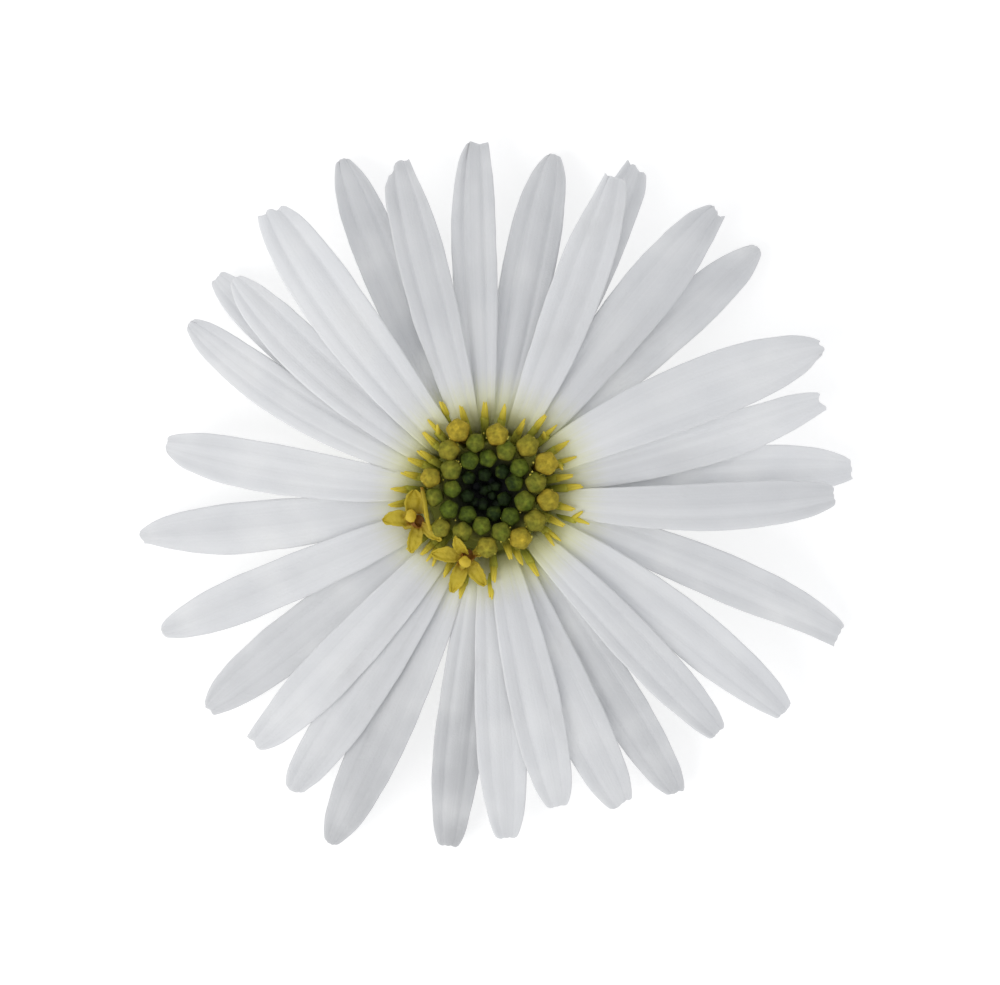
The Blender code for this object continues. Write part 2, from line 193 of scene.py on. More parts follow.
def write_down(piece, name, measure):
    """Keeps one number for each corner, which a material can read by this name."""
    values = piece.data.attributes.new(name, "FLOAT", "POINT")
    for corner, value in zip(piece.data.vertices, values.data):
        value.value = measure(corner.co) if callable(measure) else measure


print("hand tools ready")

# %% [markdown]
# ## Turning a shape
#
# Buds, tubes and the green cup are round. Each starts as a filled circle that is extruded ring
# by ring up its profile, as one would do by hand, and its last ring is merged into a point.

# %% Turned shapes
def turned(name, rings, sides):
    """A closed round shape: rings are (radius, height) pairs, from the foot to the top."""
    foot_radius, foot_height = rings[0]
    bpy.ops.object.select_all(action="DESELECT")
    bpy.ops.mesh.primitive_circle_add(
        vertices=sides, radius=foot_radius, fill_type="NGON", location=(0, 0, foot_height)
    )
    piece = settle(bpy.context.object, name)
    bpy.ops.object.mode_set(mode="EDIT")
    bpy.ops.mesh.select_all(action="SELECT")
    for (radius, height), (next_radius, next_height) in zip(rings, rings[1:]):
        rise = (0.0, 0.0, next_height - height)
        bpy.ops.mesh.extrude_region_move(TRANSFORM_OT_translate={"value": rise})
        grow = next_radius / radius
        bpy.ops.transform.resize(value=(grow, grow, 1.0), center_override=(0, 0, next_height))
    bpy.ops.mesh.merge(type="CENTER")
    bpy.ops.mesh.select_all(action="SELECT")
    bpy.ops.mesh.normals_make_consistent(inside=False)
    bpy.ops.object.mode_set(mode="OBJECT")
    return piece


print("turning ready")

# %% [markdown]
# ## Laying a flat blank along a line
#
# Petals, bracts and styles are first made straight and flat, standing along +Y. A Curve modifier
# then bends each one along its own line, the way a paper strip is laid along a wire.

# %% Laying along a line
def lay_along(piece, points, roll=0.0, level=True):
    """Stretches a blank that is 1 long to the line through the points, and bends it along."""
    path = bpy.data.curves.new("line", "CURVE")
    path.dimensions = "3D"
    path.twist_mode = "Z_UP" if level else "MINIMUM"
    path.resolution_u = 16
    line = path.splines.new("BEZIER")
    line.bezier_points.add(len(points) - 1)
    for knot, point in zip(line.bezier_points, points):
        knot.co = point
        knot.handle_left_type = knot.handle_right_type = "AUTO"
        knot.tilt = math.pi / 2.0 + roll
    guide = bpy.data.objects.new("line", path)
    bpy.context.collection.objects.link(guide)
    stretched(piece, (1.0, line.calc_length(), 1.0))
    applied(piece, "CURVE", object=guide, deform_axis="POS_Y")
    bpy.data.objects.remove(guide)
    return piece


print("bending ready")

# %% [markdown]
# ## The petals' plan
#
# What looks like a petal is a whole ray floret: a strap with two grooves and a few small teeth
# at its tip. No two are alike, so each one has a row here, read off the picture: where its root
# and tip point, how far it reaches, how wide it is, which layer it lies in, the cut of its tip,
# how far it rolls to one side in degrees, its tone of painted shade, lighter or darker by how
# the light falls on it, and how deep its grooves are as a share of the deepest usual ones.

# %% The rays, clockwise from the top
RAYS = [
    (355.6, 357.4, 17.60, 2.25, 1, "right_spur", 3.0, -0.09, 1.40),
    (9.5, 10.8, 17.35, 2.60, 0, "right_shoulder", -2.0, -0.11, 1.40),
    (26.5, 21.5, 17.05, 2.60, 2, "left_spur", -4.0, 0.05, 0.80),
    (25.0, 24.2, 18.15, 2.45, 0, "slanting", 0.0, -0.02, 1.00),
    (38.4, 38.7, 18.30, 2.80, 1, "right_tooth", 2.0, -0.05, 0.90),
    (47.6, 47.9, 18.35, 2.40, 0, "round", 2.0, -0.07, 0.70),
    (61.2, 66.9, 18.30, 3.20, 2, "left_tooth", -2.0, 0.03, 0.30),
    (80.5, 74.8, 17.45, 2.25, 1, "hollow", 0.0, 0.10, 0.35),
    (84.5, 86.1, 18.36, 2.70, 0, "serrate", 0.0, 0.10, 0.60),
    (98.0, 90.6, 17.35, 2.40, 2, "square", 1.0, -0.02, 0.25),
    (107.4, 111.7, 19.15, 2.40, 0, "slant_cut", -3.0, -0.04, 0.40),
    (121.3, 127.0, 18.50, 2.60, 1, "left_shoulder", 0.0, 0.00, 0.45),
    (135.3, 136.3, 16.65, 2.25, 2, "square", 0.0, -0.05, 0.60),
    (147.9, 147.9, 17.95, 2.40, 0, "left_lobe", 2.0, -0.155, 0.60),
    (160.5, 156.8, 17.10, 2.65, 1, "right_lobe", -2.0, -0.05, 0.60),
    (167.3, 167.5, 16.15, 2.55, 2, "square", 0.0, -0.03, 0.60),
    (176.9, 176.9, 17.40, 2.50, 1, "square", 2.0, -0.06, 0.40),
    (187.3, 186.5, 17.95, 2.40, 0, "square", -3.0, -0.24, 0.80),
    (202.5, 204.2, 19.40, 2.65, 0, "round", 3.0, -0.22, 0.60),
    (212.0, 213.2, 17.95, 2.50, 1, "leaning", 0.0, -0.09, 0.60),
    (219.7, 222.6, 17.25, 2.55, 1.7, "two_corners", -2.0, -0.03, 0.50),
    (233.5, 232.3, 17.90, 2.65, 0, "notched", 2.0, -0.12, 0.50),
    (246.0, 246.8, 17.80, 2.35, 1, "round", 0.0, -0.07, 0.40),
    (259.5, 262.8, 17.70, 2.60, 0, "tapering", -2.0, -0.07, 0.25),
    (273.6, 278.1, 16.35, 2.50, 1, "blunt", 2.0, -0.02, 0.20),
    (289.6, 299.5, 17.20, 2.30, 1, "round", 0.0, -0.01, 0.70),
    (303.0, 308.4, 17.45, 2.20, 0, "square", 0.0, -0.01, 0.50),
    (302.5, 310.1, 16.60, 2.40, 2, "round", -2.0, 0.05, 0.60),
    (317.5, 322.6, 17.80, 3.05, 3, "three_teeth", 2.0, 0.07, 1.20),
    (333.5, 336.3, 18.30, 2.45, 0, "round", 3.0, -0.11, 1.10),
    (342.8, 344.9, 17.15, 2.42, 2, "stepped", -3.0, -0.11, 1.20),
]
print("rays:", len(RAYS))

# %% [markdown]
# ## Petal blanks
#
# A blank is a flat grid, 1 wide and 1 long. Its outline swells from a narrow claw to the widest
# place and closes in to the tip, and its rows stand closer together there, where the teeth are.
# An outline, grooves and teeth follow formulas along and across the strap, which no operator
# gives, so the grid's corners are moved in code. There is one blank for each cut of tip.

# %% The cuts of the tips
# The share of the width left at the tip and how straight the margin closes in, for the left side
# and the right one, then how far the tip stays behind its longest tooth, in millimetres, at
# even steps from its left corner to its right one.
FULL, STRAIGHT = 0.52, 1.3
TIPS = {
    "round": (0.29, 0.6, 0.28, FULL, (0.17, 0.08, 0.03, 0.0, 0.01, 0.0, 0.02, 0.07, 0.15)),
    "square": (0.42, FULL, 0.42, 0.7, (0.10, 0.0, 0.02, 0.07, 0.03, 0.06, 0.0, 0.03, 0.12)),
    "blunt": (0.27, FULL, 0.42, FULL, (0.20, 0.11, 0.05, 0.02, 0.0, 0.03, 0.05, 0.0, 0.06)),
    "hollow": (0.44, FULL, 0.42, STRAIGHT, (0.12, 0.05, 0.16, 0.24, 0.24, 0.14, 0.05, 0.0, 0.06)),
    "notched": (0.33, 0.8, 0.25, FULL, (0.12, 0.10, 0.13, 0.14, 0.09, 0.02, 0.04, 0.12, 0.22)),
    "serrate": (0.29, FULL, 0.42, 0.6, (0.10, 0.04, 0.05, 0.07, 0.02, 0.0, 0.07, 0.08, 0.0)),
    "stepped": (0.54, FULL, 0.42, 1.1, (0.64, 0.60, 0.35, 0.08, 0.0, 0.0, 0.05, 0.08, 0.0)),
    "leaning": (0.42, 1.0, 0.38, FULL, (0.32, 0.2, 0.12, 0.05, 0.02, 0.0, 0.02, 0.07, 0.17)),
    "slanting": (0.35, 1.2, 0.60, FULL, (0.0, 0.10, 0.22, 0.12, 0.12, 0.26, 0.34, 0.28, 0.40)),
    "tapering": (0.30, 1.5, 0.20, FULL, (0.24, 0.24, 0.15, 0.08, 0.03, 0.01, 0.02, 0.05, 0.1)),
    "slant_cut": (0.35, FULL, 0.68, 3.0, (0.06, 0.0, 0.04, 0.08, 0.03, 0.09, 0.04, 0.08, 0.03)),
    "left_spur": (0.28, STRAIGHT, 0.52, FULL, (0.0, 0.13, 0.14, 0.11, 0.12, 0.13, 0.12, 0.12, 0.2)),
    "left_lobe": (0.36, FULL, 0.38, FULL, (0.12, 0.0, 0.06, 0.14, 0.12, 0.13, 0.17, 0.22, 0.28)),
    "left_shoulder": (0.50, FULL, 0.26, 0.9, (0.1, 0.03, 0.02, 0.0, 0.03, 0.06, 0.03, 0.04, 0.05)),
    "left_tooth": (0.26, FULL, 0.17, 0.75, (0.08, 0.20, 0.14, 0.03, 0.0, 0.02, 0.08, 0.17, 0.29)),
    "right_lobe": (0.45, FULL, 0.49, FULL, (0.10, 0.05, 0.14, 0.10, 0.09, 0.02, 0.0, 0.03, 0.16)),
    "right_spur": (0.23, FULL, 0.70, FULL, (0.21, 0.10, 0.03, 0.0, 0.02, 0.10, 0.13, 0.08, 0.0)),
    "right_tooth": (0.24, FULL, 0.44, 1.2, (0.18, 0.08, 0.02, 0.03, 0.13, 0.14, 0.27, 0.24, 0.04)),
    "two_corners": (0.32, FULL, 0.47, 1.1, (0.17, 0.06, 0.01, 0.02, 0.07, 0.14, 0.12, 0.05, 0.04)),
    "three_teeth": (0.50, 0.7, 0.42, FULL, (0.0, 0.10, 0.12, 0.0, 0.06, 0.27, 0.22, 0.18, 0.30)),
    "right_shoulder": (0.23, FULL, 0.31, FULL, (0.23, 0.12, 0.04, 0.01, 0.03, 0.01, 0.03, 0.07, 0.1)),
}
print("cuts of tips:", len(TIPS))

# %% One blank for each cut
COLUMNS = 24
ROWS = 44
ROWS_TOWARDS_TIP = 1.5
ROOT_SHARE = 0.42
WIDEST_AT = 0.62
SWELL_POWER = 0.9
CLOSED_AT_TIP = 0.94
GROOVE_AT = 0.45
GROOVE_WIDTH = 0.14
GROOVE_DEPTH = 0.09 * MM
GROOVE_SHARE_AT_ROOT = 0.25
GROOVES_FULL_AT = 0.4
GROOVE_SHARE_AT_TIP = 0.4
TIP_FLATTENS_OVER = 0.15
MARGIN_DROP = 0.04 * MM
CLAW_FOLD = 0.10 * MM
CLAW_END = 0.22
TEETH_FROM = 0.90
PETAL_LENGTH = 14.5 * MM


def strap_share(along, end_share, straightness):
    """The share of the petal's full width, on one side, at a place along it."""
    if along < WIDEST_AT:
        swell = math.sin(math.pi / 2.0 * along / WIDEST_AT) ** SWELL_POWER
        return ROOT_SHARE + (1.0 - ROOT_SHARE) * swell
    past = (along - WIDEST_AT) / (1.0 - WIDEST_AT)
    left_over = (1.0 - CLOSED_AT_TIP) ** straightness
    closing = ((1.0 - CLOSED_AT_TIP * past**2) ** straightness - left_over) / (1.0 - left_over)
    return end_share + (1.0 - end_share) * closing


def tooth_depth(across, teeth):
    """How far the tip stays behind at a place across it, from -1 to 1."""
    place = (across + 1.0) / 2.0 * (len(teeth) - 1)
    left = min(int(place), len(teeth) - 2)
    return teeth[left] + (teeth[left + 1] - teeth[left]) * (place - left)


def section(across, along):
    """The strap's height across it: two grooves, margins that bend down, a folded claw."""
    grooves = sum(
        math.exp(-(((across - side * GROOVE_AT) / GROOVE_WIDTH) ** 2)) for side in (-1, 1)
    )
    from_root, from_tip = ease(along / GROOVES_FULL_AT), ease((1.0 - along) / TIP_FLATTENS_OVER)
    grooves *= GROOVE_SHARE_AT_ROOT + (1.0 - GROOVE_SHARE_AT_ROOT) * from_root
    grooves *= GROOVE_SHARE_AT_TIP + (1.0 - GROOVE_SHARE_AT_TIP) * from_tip
    fold = CLAW_FOLD * across**2 * (1.0 - ease(along / CLAW_END))
    return fold - GROOVE_DEPTH * grooves - MARGIN_DROP * abs(across) ** 3


def petal_blank(cut):
    left_share, left_straight, right_share, right_straight, teeth = TIPS[cut]
    blank = strip(f"blank_{cut}", COLUMNS, ROWS)
    for corner in blank.data.vertices:
        across = corner.co.x * 2.0
        along = 1.0 - (1.0 - corner.co.y) ** ROWS_TOWARDS_TIP
        behind = tooth_depth(across, teeth) * MM / PETAL_LENGTH
        behind *= ease((along - TEETH_FROM) / (1.0 - TEETH_FROM))
        side = (left_share, left_straight) if across < 0.0 else (right_share, right_straight)
        corner.co.x = across / 2.0 * strap_share(along, *side)
        corner.co.y = along - behind
        corner.co.z = section(across, along)
    return blank


petal_blanks = {cut: petal_blank(cut) for cut in TIPS}
print("blanks:", len(petal_blanks), "faces each:", COLUMNS * ROWS)

# %% [markdown]
# ## Laying out the petals
#
# Each petal rises off the cup's rim beside the buds, arches over and sinks towards its tip. The
# layers open away from each other past the claw, so that no petal cuts through its neighbour. A
# petal is about as thick as strong paper, and Solidify gives it that thickness.

# %% The petals
ROOT_RADIUS = 3.0 * MM
ROOT_HEIGHT = 4.05 * MM
ROOT_STEP = 0.2 * MM
LAYER_STEP = 0.45 * MM
LAYERS_OPEN_BY = 0.3
RISE = 2.2 * MM
DROOP = 3.3 * MM
DROOP_LESS_PER_LAYER = 0.4 * MM
CLAW_LIFT = 0.75 * MM
CLAW_UP_BY = 0.09
LIFT_FADES_FROM, LIFT_FADES_OVER = 0.1, 0.6
PETAL_THICKNESS = 0.14 * MM
CRINKLE_SIZE = 2.5 * MM
CRINKLE_DEPTH = 0.16 * MM
KNOTS = 12


def midrib(root_bearing, tip_bearing, reach, layer, along):
    """The middle of a petal, from its root at 0 to its tip at 1."""
    radius = ROOT_RADIUS + (reach * MM - ROOT_RADIUS) * along
    point = heading(root_bearing + (tip_bearing - root_bearing) * along) * radius
    opening = ROOT_STEP + (LAYER_STEP - ROOT_STEP) * ease(along / LAYERS_OPEN_BY)
    droop = DROOP - DROOP_LESS_PER_LAYER * layer + RISE
    point.z = ROOT_HEIGHT + opening * layer + RISE * along - droop * along**2
    faded = ease((along - LIFT_FADES_FROM) / LIFT_FADES_OVER)
    point.z += CLAW_LIFT * ease(along / CLAW_UP_BY) * (1.0 - faded)
    return point


def petal_height(place):
    """The height of the top petal under a level place, or 0 where there is none."""
    top = 0.0
    for root, tip, reach, width, layer, *_ in RAYS:
        along = max((place.length - ROOT_RADIUS) / (reach * MM - ROOT_RADIUS), 0.0)
        middle = midrib(root, tip, reach, layer, along)
        if (middle.xy - place.xy).length < width * MM / 2.0 * strap_share(along, 1.0, FULL):
            top = max(top, middle.z)
    return top


petals = []
for number, (root, tip, reach, width, layer, cut, roll, painted_shade_tone, grooves) in enumerate(RAYS):
    petal = copy_of(petal_blanks[cut], f"petal_{number:02d}")
    stretched(petal, (width * MM, 1.0, grooves))
    line = [midrib(root, tip, reach, layer, knot / KNOTS) for knot in range(KNOTS + 1)]
    lay_along(petal, line, roll=math.radians(roll))
    applied(petal, "SOLIDIFY", thickness=PETAL_THICKNESS, offset=0.0)
    crinkled(petal, CRINKLE_SIZE, CRINKLE_DEPTH)
    # Each petal keeps its tone of painted shade, lighter or darker by how light falls on it, for its
    # material.
    write_down(petal, "painted_shade_tone", painted_shade_tone)
    bpy.ops.object.shade_smooth()
    petals.append(petal)
for blank in petal_blanks.values():
    bpy.data.objects.remove(blank)
print("petals:", len(petals), "faces each:", len(petals[0].data.polygons))

# %% [markdown]
# ## Closed florets
#
# The disc is packed with florets that haven't opened yet. Each is a small tube that ends in five
# lobes folded shut, so from above it is a rounded five-sided knob. Ten sides make it: every
# second one is drawn in, which leaves five soft ribs with seams between them.

# %% The bud, made once
BUD_RINGS = [
    (0.28, -4.00), (0.34, -2.90), (0.42, -1.70), (0.60, -0.80), (0.88, -0.25), (1.00, 0.15),
    (0.95, 0.48), (0.76, 0.74), (0.46, 0.90), (0.16, 0.95),
]
LOBES = 5
SEAM_DRAWN_IN = (0.78, 0.78, 0.98)
bud_blank = turned("bud_blank", BUD_RINGS, 2 * LOBES)
bpy.ops.object.mode_set(mode="EDIT")


def on_a_seam(place):
    from_a_rib = math.degrees(math.atan2(place.x, place.y)) % (360.0 / LOBES)
    between_ribs = abs(from_a_rib - 180.0 / LOBES) < 5.0
    return between_ribs and place.z > -0.8 and math.hypot(place.x, place.y) > 0.3


pick(bud_blank, on_a_seam)
bpy.ops.transform.resize(value=SEAM_DRAWN_IN, center_override=(0, 0, 0))
bpy.ops.object.mode_set(mode="OBJECT")
applied(bud_blank, "SUBSURF", levels=2, render_levels=2)
widest = max(math.hypot(corner.co.x, corner.co.y) for corner in bud_blank.data.vertices)
bud_blank.data.transform(Matrix.Scale(1.0 / widest, 4))
bpy.ops.object.shade_smooth()


def rib(corner):
    """1 on the five ribs and at the very top, 0 in the seams between them."""
    on_rib = 0.5 + 0.5 * math.cos(LOBES * math.atan2(corner.x, corner.y))
    return 1.0 - (1.0 - on_rib) * ease(corner.xy.length / 0.35)


def crown(corner):
    """1 at the very top, fading out round it."""
    return (1.0 - ease(corner.xy.length / 0.4)) * (corner.z > 0.0)


write_down(bud_blank, "rib", rib)
write_down(bud_blank, "crown", crown)
print("bud faces:", len(bud_blank.data.polygons))

# %% [markdown]
# ## Packing the disc
#
# The buds stand in crossing spirals, small and nearly black in the middle, their own dark green
# with painted shade where the disc dips, and large and yellow at the rim. Each one is placed by the
# pixel it is seen at, with its width in pixels and how ripe it is, from 0, dark green darkened
# to near black by painted shade, to 1, yellow. A ripe bud stands higher and leans outwards.

# %% Where the buds stand
BUDS = [
    (459, 432, 22, 0.95), (497, 436, 21, 0.95), (545, 464, 22, 0.95), (547, 500, 21, 0.90),
    (520, 537, 21, 0.88), (487, 546, 20, 0.78), (432, 478, 19, 0.90), (450, 451, 20, 0.74),
    (527, 447, 21, 0.74), (476, 444, 18, 0.54), (506, 452, 19, 0.52), (452, 470, 20, 0.58),
    (535, 483, 20, 0.58), (534, 520, 21, 0.70), (442, 527, 18, 0.64), (463, 531, 19, 0.58),
    (482, 525, 18, 0.46), (501, 531, 19, 0.50), (524, 501, 20, 0.47), (435, 497, 18, 0.54),
    (510, 516, 18, 0.33), (470, 461, 18, 0.40), (488, 459, 17, 0.36), (519, 468, 18, 0.40),
    (514, 483, 17, 0.32), (453, 489, 17, 0.36), (450, 509, 18, 0.42), (468, 514, 17, 0.30),
    (494, 513, 15, 0.22), (504, 499, 14, 0.18), (502, 472, 14, 0.20), (469, 478, 13, 0.20),
    (485, 475, 13, 0.18), (468, 496, 13, 0.15), (483, 504, 12, 0.12), (496, 486, 10, 0.05),
    (484, 490, 10, 0.05), (492, 496, 9, 0.03), (477, 486, 10, 0.07), (491, 480, 9, 0.05),
    (476, 503, 10, 0.08), (497, 504, 9, 0.10), (490, 488, 8, 0.0),
]
CENTRE_HEIGHT = 5.75 * MM
RIM_RISE = 0.55 * MM
DISC_RADIUS = 3.0 * MM
RIM_LEAN = 0.30
PRESSED = 1.10
SHADED_FROM, SHADED_TO = -1.9, 0.95


def bud_height(radius):
    """The middle of a bud's head: the disc is dished, with its young buds lowest."""
    return CENTRE_HEIGHT + RIM_RISE * ease(radius / DISC_RADIUS + 0.1)


drawn = random.Random(5)
buds = []
for number, (across, down, wide, ripeness) in enumerate(BUDS):
    bud = copy_of(bud_blank, f"bud_{number:02d}")
    place = from_picture(across, down)
    radius = place.length
    place.z = bud_height(radius)
    half = wide / 2.0 * PIXEL * PRESSED
    sideways = Vector((-place.y, place.x, 0.0))
    lean = Matrix.Rotation(RIM_LEAN * radius / DISC_RADIUS, 4, sideways)
    turn = Matrix.Rotation(drawn.uniform(0.0, math.tau), 4, "Z")
    size = Matrix.Diagonal((half, half, half * drawn.uniform(0.85, 1.0), 1.0))
    write_down(bud, "rise", lambda corner: (corner.z - SHADED_FROM) / (SHADED_TO - SHADED_FROM))
    bud.data.transform(Matrix.Translation(place) @ lean @ turn @ size)
    write_down(bud, "ripeness", ripeness)
    buds.append((ripeness, bud))
bpy.data.objects.remove(bud_blank)
green_buds = joined([bud for ripeness, bud in buds if ripeness < 0.6], "closed_florets_green")
yellow_buds = joined([bud for ripeness, bud in buds if ripeness >= 0.6], "closed_florets_yellow")
for group in (green_buds, yellow_buds):
    crinkled(group, 0.2 * MM, 0.05 * MM)
print("green and yellow bud faces:", len(green_buds.data.polygons), len(yellow_buds.data.polygons))

# %% [markdown]
# ## Under the buds
#
# The buds grow out of a low drum on the cup, which shows only as shade between them. It is turned
# like the rest, and keeps how far out each place is, so its material can be painted shade, nearly
# black, in the middle, grading to the drum's own olive at the rim.

# %% The dome
DOME = [
    (1.9, 3.7), (1.95, 4.3), (2.1, 4.9), (2.45, 5.25), (2.5, 5.5), (2.2, 5.62), (1.5, 5.5),
    (0.8, 5.3), (0.2, 5.25),
]
BLACK_WITHIN, OLIVE_FROM = 0.9 * MM, 2.5 * MM


def out_from_black(corner):
    """0 where the drum is blackest, 1 from where it is olive."""
    return (corner.xy.length - BLACK_WITHIN) / (OLIVE_FROM - BLACK_WITHIN)


dome = turned("disc_dome", in_mm(DOME), 48)
applied(dome, "SUBSURF", levels=1, render_levels=1)
bpy.ops.object.shade_smooth()
write_down(dome, "rise", out_from_black)
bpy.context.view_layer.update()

# %% [markdown]
# ## The rays' tubes and styles
#
# Each petal is the long lip of a tube that grows on the rim. From above the tube shows as a
# short green stub, and a yellow style comes out of its mouth and lies over the petal. It forks
# in two, but most forks stay nearly shut and look like one pointed wedge.

# %% Where the styles end
STYLES = [
    (440, 402), (460, 406), (484, 402), (505, 404), (525, 419), (545, 415), (557, 425, 543, 432),
    (569, 441), (576, 457, 562, 470), (573, 475), (583, 487), (575, 509), (589, 524, 582, 511),
    (565, 525), (561, 541, 554, 546), (539, 576), (523, 565), (512, 559), (492, 599), (495, 582),
    (460, 598), (444, 577), (427, 561, 433, 566), (421, 554), (407, 549), (389, 505), (391, 489),
    (401, 473), (408, 458), (417, 451), (423, 433), (428, 420, 438, 425),
]
TUBE_RINGS = [(0.15, 0.0), (0.17, 0.35), (0.20, 0.7), (0.22, 0.93), (0.19, 1.0), (0.12, 0.96)]
TUBE_LINE = [(-1.9, 3.9, 0.0), (-1.5, 4.65, 0.5), (-1.15, 5.1, 1.0), (-0.72, 5.35, 1.0)]
BRANCH_RINGS = [(0.10, 0.0), (0.13, 0.2), (0.125, 0.45), (0.09, 0.72), (0.045, 0.95), (0.01, 1.0)]
STYLE_HEIGHT = 5.7 * MM
STYLE_CLEARANCE = 0.12 * MM


def lift_over_petal(end):
    """How much higher than usual a style has to lie to clear the petal under it."""
    return max(petal_height(end) + STYLE_CLEARANCE - STYLE_HEIGHT, 0.0)


lifts = [lift_over_petal(from_picture(*style[:2])) for style in STYLES]
print("styles:", len(STYLES), "raised:", sum(lift > 0.0 for lift in lifts))


# %% Tubes
def round_blank(name, rings, sides):
    """A turned blank laid down along +Y, 1 long, with its radii in millimetres."""
    blank = turned(name, [(radius * MM, height) for radius, height in rings], sides)
    blank.data.transform(Matrix.Rotation(-math.pi / 2.0, 4, "X"))
    return blank


tube_blank = round_blank("tube_blank", TUBE_RINGS, 10)
tubes = []
for number, (style, lift) in enumerate(zip(STYLES, lifts)):
    end = from_picture(*style[:2])
    outward = end.normalized()
    line = [
        outward * (end.length + behind * MM) + Vector((0.0, 0.0, height * MM + lift * share))
        for behind, height, share in TUBE_LINE
    ]
    tube = copy_of(tube_blank, f"tube_{number:02d}")
    write_down(tube, "rise", lambda corner: corner.y)
    tubes.append(lay_along(tube, line, level=False))
bpy.data.objects.remove(tube_blank)
ray_tubes = joined(tubes, "ray_tubes")
bpy.ops.object.shade_smooth()
print("tube faces:", len(ray_tubes.data.polygons))

# %% Styles
BRANCH_LENGTH = 0.95 * MM
FORK_HEIGHT = 5.28 * MM
FORK_WIDTH = 0.05 * MM
ARCH = 0.08 * MM
branch_blank = round_blank("branch_blank", BRANCH_RINGS, 8)
branches = []
for number, (style, lift) in enumerate(zip(STYLES, lifts)):
    end = from_picture(*style[:2])
    outward = end.normalized()
    side = Vector((outward.y, -outward.x, 0.0)) * drawn.choice((-1.0, 1.0))
    aside = side * drawn.uniform(0.05, 0.11) * MM
    behind = outward * drawn.uniform(0.0, 0.2) * MM
    other = from_picture(*style[2:]) if len(style) > 2 else end + aside - behind
    foot = outward * (end.length - BRANCH_LENGTH)
    foot.z = FORK_HEIGHT + lift
    for way, far in ((-1.0, end), (1.0, other)):
        far = far.copy()
        far.z = drawn.uniform(5.65, 5.95) * MM + lift
        near = foot + side * way * FORK_WIDTH
        middle = (near + far) / 2.0 + Vector((0.0, 0.0, ARCH))
        branch = copy_of(branch_blank, f"branch_{number:02d}")
        write_down(branch, "rise", lambda corner: corner.y)
        branches.append(lay_along(branch, [near, middle, far], level=False))
bpy.data.objects.remove(branch_blank)
styles = joined(branches, "ray_styles")
crinkled(styles, 0.16 * MM, 0.07 * MM)
alone(styles)
bpy.ops.object.shade_smooth()
print("style faces:", len(styles.data.polygons))

# %% [markdown]
# ## Open florets
#
# Two florets at the lower left have opened. Each has five pointed lobes round a brown throat, and
# the anthers and the stigma stand in it as a yellow knob. The lobes curl every way, so each is
# laid along its own line, read off the picture: its places, its width, and how far it rolls.

# %% The lobe, made once
LOBE_WIDTHS = [(0.0, 0.55), (0.25, 0.92), (0.5, 1.0), (0.75, 0.72), (0.92, 0.34), (1.0, 0.06)]


def between_pairs(pairs, place):
    """Reads a value off a line through (place, value) pairs."""
    for (start, low), (end, high) in zip(pairs, pairs[1:]):
        if place <= end:
            return low + (high - low) * (place - start) / (end - start)
    return pairs[-1][1]


lobe_blank = strip("lobe_blank", 8, 14)
for corner in lobe_blank.data.vertices:
    along, across = corner.co.y, corner.co.x * 2.0
    corner.co.x = across / 2.0 * between_pairs(LOBE_WIDTHS, along)
    corner.co.z = (0.12 * across**2 + 0.03 * math.cos(across * math.pi * 2.0)) * MM
print("lobe corners:", len(lobe_blank.data.vertices))

# %% Lobes, throats and knobs
# Each lobe: the pixels along its line, the heights there in millimetres, its width in pixels and
# its roll in degrees.
FLORET_LOBES = [
    [
        (((412, 520), (398, 518), (384, 520)), (5.98, 6.25, 6.0), 17, 0),
        (((417, 514), (416, 503), (415, 490)), (6.0, 6.2, 6.1), 23, 10),
        (((424, 487), (427, 503), (429, 518), (433, 530)), (6.4, 6.6, 6.55, 6.4), 12, 84),
        (((418, 526), (416, 538), (411, 551)), (5.98, 6.1, 5.85), 15, -8),
        (((423, 524), (431, 531), (442, 539)), (6.0, 6.15, 6.1), 12, 25),
    ],
    [
        (((465, 552), (460, 543), (456, 535)), (6.02, 6.6, 6.85), 14, -35),
        (((462, 556), (448, 554), (432, 553)), (5.98, 6.15, 5.95), 16, 5),
        (((464, 561), (459, 575), (452, 591)), (5.98, 6.1, 5.75), 16, 0),
        (((470, 560), (477, 572), (485, 584)), (5.98, 6.1, 5.8), 15, 10),
        (((474, 554), (479, 551), (484, 549)), (5.9, 5.9, 5.8), 10, 0),
    ],
]
# Each throat: its middle in pixels, its bearing and lean, then the pixel of its knob.
THROATS = [((420, 521), 250, 42, (411, 516)), ((469, 554), 200, 42, (465, 562))]
THROAT_RINGS = [
    (0.14, -1.8), (0.17, -1.0), (0.24, -0.5), (0.34, -0.15), (0.37, 0.0), (0.32, 0.04),
    (0.25, -0.08), (0.14, -0.3),
]
KNOB_RINGS = [
    (0.10, -0.75), (0.13, -0.3), (0.18, -0.12), (0.29, -0.04), (0.33, 0.08), (0.30, 0.2),
    (0.20, 0.27), (0.08, 0.25),
]
LOBE_THICKNESS = 0.09 * MM
MOUTH_HEIGHT = 6.02 * MM
KNOB_HEIGHT = 6.45 * MM


def leaning(bearing, lean):
    return Matrix.Rotation(math.radians(lean), 4, heading(bearing + 90.0))


